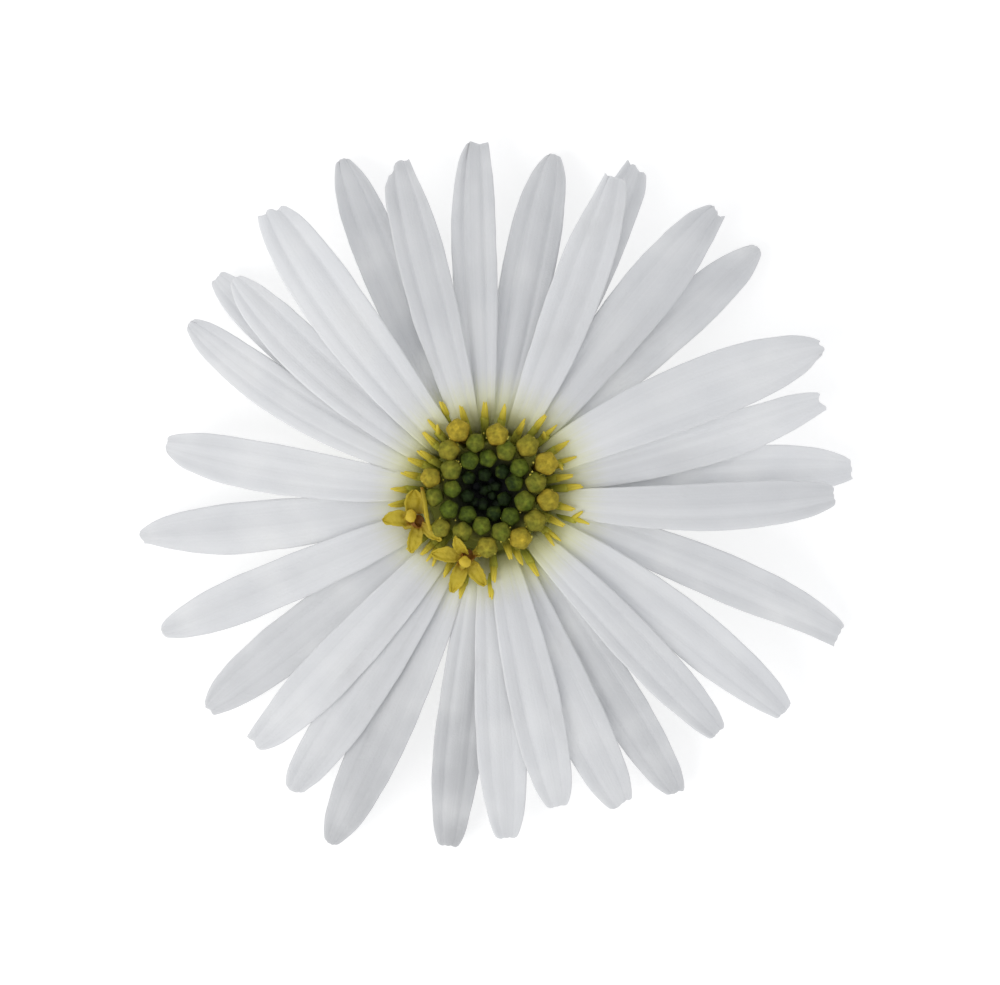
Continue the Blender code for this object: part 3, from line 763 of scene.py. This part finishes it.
open_florets = []
for number, (lobes, throat) in enumerate(zip(FLORET_LOBES, THROATS)):
    parts = []
    for pixels, heights, wide, roll in lobes:
        line = [from_picture(*pixel, height * MM) for pixel, height in zip(pixels, heights)]
        lobe = copy_of(lobe_blank, f"lobe_{number}")
        write_down(lobe, "rise", lambda corner: 0.26 + 0.54 * ease(corner.y * 1.6))
        lobe.data.transform(Matrix.Diagonal((wide * PIXEL, 1.0, 1.0, 1.0)))
        lay_along(lobe, line, roll=math.radians(roll))
        applied(lobe, "SOLIDIFY", thickness=LOBE_THICKNESS, offset=0.0)
        parts.append(lobe)
    middle, bearing, lean, head = throat
    mouth = from_picture(*middle, MOUTH_HEIGHT)
    funnel = turned(f"throat_{number}", in_mm(THROAT_RINGS), 15)
    write_down(funnel, "rise", lambda corner: 0.6 - 0.55 * ease((corner.z / MM + 0.8) / 0.7))
    funnel.data.transform(Matrix.Translation(mouth) @ leaning(bearing, lean))
    parts.append(funnel)
    knob = turned(f"knob_{number}", in_mm(KNOB_RINGS), 14)
    write_down(knob, "rise", lambda corner: 0.35 + 0.65 * ease((corner.z / MM + 0.3) / 0.45))
    top = from_picture(*head, KNOB_HEIGHT)
    knob.data.transform(Matrix.Translation(top) @ leaning(bearing, lean))
    parts.append(knob)
    floret = joined(parts, f"open_floret_{number}")
    applied(floret, "SUBSURF", levels=1, render_levels=1)
    crinkled(floret, 0.22 * MM, 0.14 * MM)
    alone(floret)
    bpy.ops.object.shade_smooth()
    open_florets.append(floret)
bpy.data.objects.remove(lobe_blank)
print("open florets:", len(open_florets), "faces:", len(open_florets[0].data.polygons))

# %% [markdown]
# ## Pollen
#
# A few grains of pollen have stuck in the gaps between the buds and on the ripe buds' edges, and
# sparkle there.

# %% Pollen grains
GRAINS = [
    (444, 480), (520, 512), (510, 527), (497, 535), (456, 520), (459, 462), (533, 463),
    (484, 434), (477, 436), (501, 518), (495, 553), (501, 541), (441, 517), (532, 472),
]
GRAINS_ON_A_BUD = 5
GAP_GRAIN_LIFT = 0.22 * MM


def grain_at(place, radius):
    bpy.ops.object.select_all(action="DESELECT")
    bpy.ops.mesh.primitive_ico_sphere_add(subdivisions=1, radius=radius, location=place)
    return settle(bpy.context.object, "grain")


grains = []
for across, down in GRAINS:
    place = from_picture(across, down)
    place.z = bud_height(place.length) + GAP_GRAIN_LIFT
    grains.append(grain_at(place, drawn.uniform(0.035, 0.06) * MM))
for across, down, wide, ripeness in BUDS:
    middle = from_picture(across, down)
    for _ in range(GRAINS_ON_A_BUD if ripeness > 0.55 else 0):
        turn = math.radians(drawn.uniform(-130.0, 130.0)) + math.atan2(middle.y, middle.x)
        reach = wide / 2.0 * PIXEL * drawn.uniform(0.85, 1.05)
        place = middle + Vector((math.cos(turn), math.sin(turn), 0.0)) * reach
        place.z = bud_height(middle.length) + drawn.uniform(0.05, 0.25) * MM
        grains.append(grain_at(place, drawn.uniform(0.04, 0.09) * MM))
pollen = joined(grains, "pollen_grains")
print("grains:", len(grains))

# %% [markdown]
# ## The cup and its bracts
#
# The back of the head is a green cup. It rises from the flat scar where the stem came off,
# widens to the rim that carries the rays, and ends inside in the low dome of the receptacle.
# Two whorls of bracts overlap on it like tiles. Each has a green middle and a thin pale margin.

# %% The cup
SCAR_RADIUS = 1.1 * MM
NECK_HEIGHT = 0.8 * MM
RIM_RADIUS = 3.65 * MM
RIM_HEIGHT = 3.45 * MM


def cup_side(share):
    """The cup's outer side as (radius, height), from the neck at 0 to the rim at 1."""
    angle = share * math.pi / 2.0
    radius = SCAR_RADIUS + (RIM_RADIUS - SCAR_RADIUS) * math.sin(angle)
    height = NECK_HEIGHT + (RIM_HEIGHT - NECK_HEIGHT) * (1.0 - math.cos(angle))
    return radius, height


scar_rings = in_mm([(0.3, 0.1), (0.62, 0.06), (0.7, 0.0), (1.0, 0.0)])
neck_rings = [(SCAR_RADIUS, 0.06 * MM), (1.06 * MM, 0.4 * MM)]
side_rings = [cup_side(step / 8.0) for step in range(9)]
inner_rings = in_mm([(3.5, 3.6), (2.6, 3.65), (2.2, 4.2), (1.5, 4.7), (0.6, 4.85)])
cup = turned("cup", scar_rings + neck_rings + side_rings + inner_rings, 48)
bpy.ops.object.shade_smooth()
print("cup faces:", len(cup.data.polygons))

# %% Bracts
BRACT_KNOTS = 6
BRACT_ROOT = 0.05
BRACT_WIDEST_AT = 0.6
BRACT_THICKNESS = 0.12 * MM
BRACT_TIP_FLARE = 0.25 * MM
BRACT_SAG = 0.35 * MM


def bract_blank(width):
    blank = strip("bract_blank", 8, 16)
    for corner in blank.data.vertices:
        along, across = corner.co.y, corner.co.x * 2.0
        swell = math.sin(math.pi / 2.0 * min(along / BRACT_WIDEST_AT, 1.0))
        past = max(along - BRACT_WIDEST_AT, 0.0) / (1.0 - BRACT_WIDEST_AT)
        wide = (0.45 + 0.55 * swell) * (1.0 - 0.82 * past**1.8)
        corner.co.x = across / 2.0 * wide * width * MM
        corner.co.z = (0.16 * across**2 - 0.06 * math.exp(-(across / 0.14) ** 2)) * MM
    return blank


# Each whorl: how many bracts, how far off the cup, how far up it, and how wide, in millimetres.
WHORLS = [(9, 0.10, 0.96, 2.5), (9, 0.30, 0.86, 2.1)]
whorls = []
for whorl, (count, off, reach, width) in enumerate(WHORLS):
    blank = bract_blank(width)
    leaves = []
    for number in range(count):
        bearing = (number + whorl / 2.0) * 360.0 / count + drawn.uniform(-3.0, 3.0)
        line = []
        for knot in range(BRACT_KNOTS + 1):
            along = knot / BRACT_KNOTS
            radius, height = cup_side(BRACT_ROOT + (reach - BRACT_ROOT) * along)
            flare = off * MM + BRACT_TIP_FLARE * ease(along * 2.5 - 1.5)
            point = heading(bearing) * (radius + flare)
            point.z = height - BRACT_SAG * along
            line.append(point)
        leaf = copy_of(blank, f"bract_{whorl}_{number}")
        lay_along(leaf, line)
        applied(leaf, "SOLIDIFY", thickness=BRACT_THICKNESS, offset=0.0)
        leaves.append(leaf)
    bpy.data.objects.remove(blank)
    whorls.append(joined(leaves, ("bracts_inner", "bracts_outer")[whorl]))
    bpy.ops.object.shade_smooth()
print("bract faces:", [len(bracts.data.polygons) for bracts in whorls])

# %% [markdown]
# ## Materials
#
# A material is a tree of nodes that ends in one Principled shader. These short helpers each add
# a node or two and hand back the socket that comes out, so that a finish below reads like a
# recipe, from what is mixed to what the shader gets.

# %% Node helpers
def new_finish(name, roughness, specular):
    """A material, its node tree and its Principled shader."""
    material = bpy.data.materials.new(name)
    material.use_nodes = True
    tree = material.node_tree
    shader = tree.nodes["Principled BSDF"]
    shader.inputs["Roughness"].default_value = roughness
    shader.inputs["Specular IOR Level"].default_value = specular
    return material, tree, shader


def add(tree, kind, inputs=None, **settings):
    """Adds a node with these settings; each input gets a value, or a link from a socket."""
    made = tree.nodes.new("ShaderNode" + kind)
    for key, value in settings.items():
        setattr(made, key, value)
    for key, source in (inputs or {}).items():
        if isinstance(source, bpy.types.NodeSocket):
            tree.links.new(source, made.inputs[key])
        else:
            made.inputs[key].default_value = source
    return made


def worked_out(tree, operation, *values):
    return add(tree, "Math", dict(enumerate(values)), operation=operation).outputs[0]


def kept(tree, name):
    """A number that write_down has kept at the corners."""
    return add(tree, "Attribute", attribute_name=name).outputs["Fac"]


def ramp(tree, source, stops):
    """A colour ramp: stops are (place, colour) pairs."""
    made = add(tree, "ValToRGB", {"Fac": source})
    marks = made.color_ramp.elements
    while len(marks) < len(stops):
        marks.new(0.5)
    for mark, (place, colour) in zip(marks, stops):
        mark.position = place
        mark.color = colour
    return made.outputs["Color"]


def mixed(tree, share, first, second, blend="MIX"):
    made = add(tree, "Mix", {0: share, 6: first, 7: second}, data_type="RGBA", blend_type=blend)
    return made.outputs[2]


def spread(tree, source, low, high, to_low=0.0, to_high=1.0, way="LINEAR"):
    """Takes the range from low to high to a new one, and holds it at its ends."""
    made = add(tree, "MapRange", {"Value": source, "From Min": low, "From Max": high,
                                  "To Min": to_low, "To Max": to_high}, interpolation_type=way)
    return made.outputs["Result"]


def wavering(tree, place, noise, by):
    """A place pushed up and down by a noise, so that no edge of colour runs dead straight."""
    return worked_out(tree, "ADD", place, spread(tree, noise, 0.3, 0.7, -by, by))


def noise_along(tree, uv, scale, detail, pattern=None):
    """A noise drawn out along the UV map; each value of pattern gives another one."""
    drawn_out = add(tree, "Mapping", {"Vector": uv, "Scale": scale})
    inputs = {"Vector": drawn_out.outputs["Vector"], "Scale": 1.0, "Detail": detail}
    if pattern is None:
        return add(tree, "TexNoise", inputs).outputs["Fac"]
    inputs["W"] = pattern
    return add(tree, "TexNoise", inputs, noise_dimensions="4D").outputs["Fac"]


def off_middle(tree, across):
    """How far off the middle line of a UV map a place is, up to 0.5 at its margins."""
    return worked_out(tree, "ABSOLUTE", worked_out(tree, "SUBTRACT", across, 0.5))


def finished(tree, shader, colour, height, depth, strength):
    """Gives the shader its colour and its fine relief."""
    tree.links.new(colour, shader.inputs["Base Color"])
    bump = add(tree, "Bump", {"Height": height, "Distance": depth, "Strength": strength})
    tree.links.new(bump.outputs["Normal"], shader.inputs["Normal"])


print("node helpers ready")

# %% [markdown]
# ## The grain of the tissue
#
# All the tissue shares one effect: a fine grain of cells that changes the colour a little and
# lifts the surface. It is a node group, built once, and each material sets how fine it is.

# %% Tissue grain, a shared group
def tissue_grain():
    group = bpy.data.node_groups.new("Tissue grain", "ShaderNodeTree")
    socket = group.interface.new_socket
    socket("Place", in_out="INPUT", socket_type="NodeSocketVector")
    socket("Cells per metre", in_out="INPUT", socket_type="NodeSocketFloat")
    socket("Mottling", in_out="OUTPUT", socket_type="NodeSocketFloat")
    socket("Grain", in_out="OUTPUT", socket_type="NodeSocketFloat")
    start = group.nodes.new("NodeGroupInput")
    end = group.nodes.new("NodeGroupOutput")
    place, cells = start.outputs["Place"], start.outputs["Cells per metre"]
    blotches = worked_out(group, "MULTIPLY", cells, 0.2)
    fine = add(group, "TexNoise", {"Vector": place, "Scale": cells, "Detail": 2.0})
    coarse = add(group, "TexNoise", {"Vector": place, "Scale": blotches, "Detail": 3.0})
    group.links.new(coarse.outputs["Fac"], end.inputs["Mottling"])
    group.links.new(fine.outputs["Fac"], end.inputs["Grain"])
    return group


GRAIN = tissue_grain()


def grain_on(tree, cells):
    """The mottling and the grain, as two sockets."""
    made = tree.nodes.new("ShaderNodeGroup")
    made.node_tree = GRAIN
    made.inputs["Cells per metre"].default_value = cells
    tree.links.new(add(tree, "TexCoord").outputs["Object"], made.inputs["Place"])
    return made.outputs["Mottling"], made.outputs["Grain"]


print("shared group:", GRAIN.name)

# %% [markdown]
# ## The petals' finish
#
# A petal is white tissue with fine lengthwise veins. Over it lies painted shade: its own tone of
# painted shade, broad soft folds of painted shade, margins painted a touch lighter and a tip
# painted darker. Near its claw it turns greenish yellow. Light sinks a little way into it, which
# softens the shade between the layers. All this follows the petal's own UV map, whose U runs
# across it and V from the claw to the tip.

# %% Petal material
PETAL_TONE = paint(220, 221, 223)
CLAW_TINT = paint(222, 223, 156)
LIGHT_SINKS_IN = 0.5
LIGHT_SINKS_BY = 0.4 * MM
SHADE_TONE_TO_PATTERN = 40.0


def petal_finish():
    material, tree, shader = new_finish("petal_tissue", 0.55, 0.25)
    shader.inputs["Subsurface Weight"].default_value = LIGHT_SINKS_IN
    shader.inputs["Subsurface Radius"].default_value = (1.0, 1.0, 1.0)
    shader.inputs["Subsurface Scale"].default_value = LIGHT_SINKS_BY
    uv = add(tree, "UVMap").outputs["UV"]
    parts = add(tree, "SeparateXYZ", {"Vector": uv})
    across, along = parts.outputs["X"], parts.outputs["Y"]
    mottling, grain = grain_on(tree, 9000.0)
    painted_shade_tone = kept(tree, "painted_shade_tone")
    veins = noise_along(tree, uv, (26.0, 1.6, 1.0), 3.0)
    own_pattern = worked_out(tree, "MULTIPLY", painted_shade_tone, SHADE_TONE_TO_PATTERN)
    painted_fold_shade = noise_along(tree, uv, (4.0, 0.25, 1.0), 1.0, own_pattern)
    # Painted shade: each petal's tone of painted shade, faded in from the claw.
    light = worked_out(tree, "MULTIPLY", painted_shade_tone, spread(tree, along, 0.05, 0.4))
    for more in (
        spread(tree, veins, 0.3, 0.7, 0.98, 1.015),
        # Painted shade on the drooping tip.
        spread(tree, along, 0.55, 1.0, 0.0, -0.06),
        # Broad soft folds of painted shade across the petal.
        spread(tree, painted_fold_shade, 0.35, 0.65, -0.03, 0.03),
        # Painted light along the margins.
        spread(tree, off_middle(tree, across), 0.25, 0.48, 0.0, 0.03),
    ):
        light = worked_out(tree, "ADD", light, more)
    white = mixed(tree, 1.0, PETAL_TONE, light, "MULTIPLY")
    claw = spread(tree, wavering(tree, along, veins, 0.012), 0.02, 0.16, 0.85, 0.0, "SMOOTHSTEP")
    colour = mixed(tree, claw, white, CLAW_TINT)
    relief = worked_out(tree, "ADD", veins, grain)
    finished(tree, shader, colour, relief, 0.03 * MM, 0.4)
    return material


petal_tissue = petal_finish()
for petal in petals:
    petal.data.materials.append(petal_tissue)
print("nodes in the petals' finish:", len(petal_tissue.node_tree.nodes))

# %% [markdown]
# ## The disc's finishes
#
# A bud's colour follows how ripe it is, and painted shade darkens it towards its foot, where shade
# falls between the packed buds, so that the disc reads as separate knobs. Styles and tubes run from
# green at the root to yellow at the tip, and an open floret from its brown throat to its yellow
# lobes.

# %% Bud, style, floret and dome materials
TUBE_TINT = paint(128, 136, 62)


def bud_finish():
    material, tree, shader = new_finish("bud_tissue", 0.6, 0.08)
    rise = kept(tree, "rise")
    mottling, grain = grain_on(tree, 7000.0)
    ripe = wavering(tree, kept(tree, "ripeness"), mottling, 0.12)
    # The unripe end, near black, is the young buds' dark green with painted shade of the dished
    # middle.
    head = ramp(tree, ripe, [
        (0.0, paint(2, 4, 5)), (0.2, paint(32, 46, 18)), (0.4, paint(86, 100, 30)),
        (0.6, paint(118, 118, 40)), (0.8, paint(146, 135, 44)), (1.0, paint(172, 151, 48)),
    ])
    # Painted shade: the foot colours darken each bud towards its foot, where shade falls between the
    # packed buds, brown on the ripe ones and near black in the middle.
    foot = ramp(tree, ripe, [
        (0.0, paint(2, 4, 3)), (0.5, paint(54, 56, 20)), (1.0, paint(140, 108, 34)),
    ])
    colour = mixed(tree, spread(tree, rise, 0.5, 0.95), foot, head)
    colour = mixed(tree, spread(tree, rise, -0.5, 0.1, 0.8, 0.0), colour, TUBE_TINT)
    # Painted shade in the seams between the five ribs, and painted light on the ribs.
    painted_seam_shade = spread(tree, kept(tree, "rib"), 0.0, 0.7, 0.88, 1.04)
    specks = spread(tree, grain, 0.3, 0.7, 0.78, 1.18)
    top = spread(tree, kept(tree, "crown"), 0.0, 1.0, 1.0, 1.45)
    light = worked_out(tree, "MULTIPLY", worked_out(tree, "MULTIPLY", painted_seam_shade, specks), top)
    colour = mixed(tree, 1.0, colour, light, "MULTIPLY")
    finished(tree, shader, colour, grain, 0.05 * MM, 0.9)
    return material


def graded_finish(name, stops):
    """Tissue whose colour runs along the piece by its rise, with a grainy surface."""
    material, tree, shader = new_finish(name, 0.55, 0.3)
    mottling, grain = grain_on(tree, 9000.0)
    place = wavering(tree, kept(tree, "rise"), mottling, 0.08)
    finished(tree, shader, ramp(tree, place, stops), grain, 0.04 * MM, 0.7)
    return material


def pollen_finish():
    material, tree, shader = new_finish("pollen_dust", 0.6, 0.25)
    mottling, grain = grain_on(tree, 20000.0)
    share = spread(tree, mottling, 0.35, 0.65)
    colour = mixed(tree, share, paint(176, 160, 40), paint(214, 204, 92))
    finished(tree, shader, colour, grain, 0.04 * MM, 0.6)
    return material


bud_tissue = bud_finish()
style_tissue = graded_finish("style_tissue", [
    (0.0, paint(160, 164, 66)), (0.16, paint(180, 178, 64)), (0.3, paint(206, 192, 62)),
    (1.0, paint(226, 204, 72)),
])
tube_tissue = graded_finish("tube_tissue", [
    (0.0, paint(166, 174, 88)), (0.6, paint(168, 172, 66)), (1.0, paint(190, 186, 66)),
])
# Painted shade: the drum shows only between the buds, so its colour is near-black painted shade in
# the middle, out to its own olive at the rim.
dome_olive_and_painted_shade = graded_finish("dome_olive_and_painted_shade", [
    (0.0, paint(3, 5, 4)), (0.4, paint(52, 58, 20)), (0.75, paint(104, 104, 40)),
    (1.0, paint(140, 142, 56)),
])
floret_tissue = graded_finish("floret_tissue", [
    (0.0, paint(122, 78, 24)), (0.2, paint(156, 106, 30)), (0.36, paint(168, 148, 40)),
    (0.8, paint(188, 168, 44)), (1.0, paint(210, 182, 54)),
])

green_buds.data.materials.append(bud_tissue)
yellow_buds.data.materials.append(bud_tissue)
styles.data.materials.append(style_tissue)
ray_tubes.data.materials.append(tube_tissue)
dome.data.materials.append(dome_olive_and_painted_shade)
pollen.data.materials.append(pollen_finish())
for floret in open_florets:
    floret.data.materials.append(floret_tissue)
print("nodes in the buds' finish:", len(bud_tissue.node_tree.nodes))

# %% [markdown]
# ## The green back
#
# The cup is plain green tissue, paler on the scar, where the cut stem shows its ring of vessels,
# and olive inside the rim. A bract has a darker midrib and a pale dry margin, which its UV map
# gives: U runs across it, so both margins lie at its ends, and V runs along it to the brownish
# tip.

# %% Cup and bract materials
TIP_TINT = paint(112, 88, 80)
RECEPTACLE_TINT = paint(146, 148, 60)


def bract_finish():
    material, tree, shader = new_finish("bract_tissue", 0.6, 0.3)
    parts = add(tree, "SeparateXYZ", {"Vector": add(tree, "UVMap").outputs["UV"]})
    mottling, grain = grain_on(tree, 4000.0)
    place = wavering(tree, off_middle(tree, parts.outputs["X"]), mottling, 0.03)
    colour = ramp(tree, place, [
        (0.0, paint(92, 114, 56)), (0.08, paint(106, 130, 66)), (0.38, paint(118, 140, 76)),
        (0.46, paint(160, 166, 120)), (0.5, paint(152, 146, 118)),
    ])
    tip = spread(tree, parts.outputs["Y"], 0.8, 1.0, 0.0, 0.65)
    finished(tree, shader, mixed(tree, tip, colour, TIP_TINT), grain, 0.04 * MM, 0.6)
    return material


def cup_finish():
    material, tree, shader = new_finish("cup_tissue", 0.6, 0.25)
    mottling, grain = grain_on(tree, 2500.0)
    share = spread(tree, mottling, 0.35, 0.65)
    green = mixed(tree, share, paint(100, 122, 60), paint(128, 148, 82))
    place = add(tree, "TexCoord").outputs["Object"]
    height = add(tree, "SeparateXYZ", {"Vector": place}).outputs["Z"]
    inside = spread(tree, height, RIM_HEIGHT, RIM_HEIGHT + 0.2 * MM)
    green = mixed(tree, inside, green, RECEPTACLE_TINT)
    away = add(tree, "VectorMath", {0: place}, operation="LENGTH").outputs["Value"]
    out = spread(tree, away, 0.0, SCAR_RADIUS)
    cut = ramp(tree, out, [
        (0.0, paint(150, 152, 96)), (0.5, paint(186, 188, 144)), (0.62, paint(140, 142, 88)),
        (0.9, paint(176, 178, 124)),
    ])
    scar = spread(tree, out, 0.9, 0.98, 1.0, 0.0)
    finished(tree, shader, mixed(tree, scar, green, cut), grain, 0.06 * MM, 0.7)
    return material


cup.data.materials.append(cup_finish())
bract_tissue = bract_finish()
for bracts in whorls:
    bracts.data.materials.append(bract_tissue)
print("materials:", len(bpy.data.materials))

# %% [markdown]
# ## Floor, light and camera
#
# The picture has the head alone on white. A plain pale floor that glows a little, as a light
# table does, keeps the gaps between the petals light. Most of the light comes evenly from all
# round, and one large lamp at the left brings out the grooves. The camera looks straight down
# through a long lens.

# %% Floor
FLOOR_SIDE = 4.0
FLOOR_GREY = 0.62
FLOOR_GLOW = 0.54
bpy.ops.object.select_all(action="DESELECT")
bpy.ops.mesh.primitive_plane_add(size=FLOOR_SIDE, location=(0, 0, 0))
floor = settle(bpy.context.object, "floor")
material, tree, shader = new_finish("floor_paper", 0.9, 0.1)
shader.inputs["Base Color"].default_value = (FLOOR_GREY, FLOOR_GREY, FLOOR_GREY, 1.0)
shader.inputs["Emission Color"].default_value = (1.0, 1.0, 1.0, 1.0)
shader.inputs["Emission Strength"].default_value = FLOOR_GLOW
floor.data.materials.append(material)
print("floor:", FLOOR_SIDE, "m wide")

# %% Light and camera
WORLD_LIGHT = 0.75
LAMP_WATTS = 1.0
LAMP_WIDTH = 0.40
LAMP_PLACE = Vector((-0.38, -0.22, 0.40))
SENSOR_MM = 36.0
LENS_MM = 200.0
FOCUS_HEIGHT = 3.0 * MM

scene = bpy.context.scene
world = bpy.data.worlds.new("soft_sky")
world.use_nodes = True
sky = world.node_tree.nodes["Background"]
sky.inputs["Color"].default_value = (0.97, 0.98, 1.0, 1.0)
sky.inputs["Strength"].default_value = WORLD_LIGHT
scene.world = world
scene.view_settings.view_transform = "Standard"

lamp = bpy.data.lights.new("soft_lamp", "AREA")
lamp.shape = "DISK"
lamp.size = LAMP_WIDTH
lamp.energy = LAMP_WATTS
lamp.color = (1.0, 0.985, 0.96)
soft_lamp = bpy.data.objects.new("soft_lamp", lamp)
soft_lamp.location = LAMP_PLACE
soft_lamp.rotation_euler = (-LAMP_PLACE).to_track_quat("-Z", "Y").to_euler()
scene.collection.objects.link(soft_lamp)

lens = bpy.data.cameras.new("camera")
lens.lens = LENS_MM
lens.sensor_width = SENSOR_MM
camera = bpy.data.objects.new("camera", lens)
scene.collection.objects.link(camera)
picture_middle = from_picture(PICTURE[0] / 2.0, PICTURE[1] / 2.0)
away = PICTURE[0] * PIXEL * LENS_MM / SENSOR_MM
camera.location = (picture_middle.x, picture_middle.y, FOCUS_HEIGHT + away)
scene.camera = camera
print("camera height in mm:", round(camera.location.z / MM))

# %% [markdown]
# ## Handing over
#
# A table lists which solid each piece stands for, beside a finish's slot name. Every piece rides
# on the flower's one body, and the solid that it stands for is hidden.

# %% Which piece stands for what
STANDS_FOR = {
    "ray_petals": ("petal_white", petals + [ray_tubes]),
    "disc_green_buds": ("bud_green", [green_buds, dome]),
    "disc_yellow_florets": ("floret_yellow", [yellow_buds, styles, pollen] + open_florets),
    "involucre_cup": ("bract_green", [cup] + whorls),
}
for node, (slot, pieces) in STANDS_FOR.items():
    for piece in pieces:
        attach(piece, "root")
        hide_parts(node)
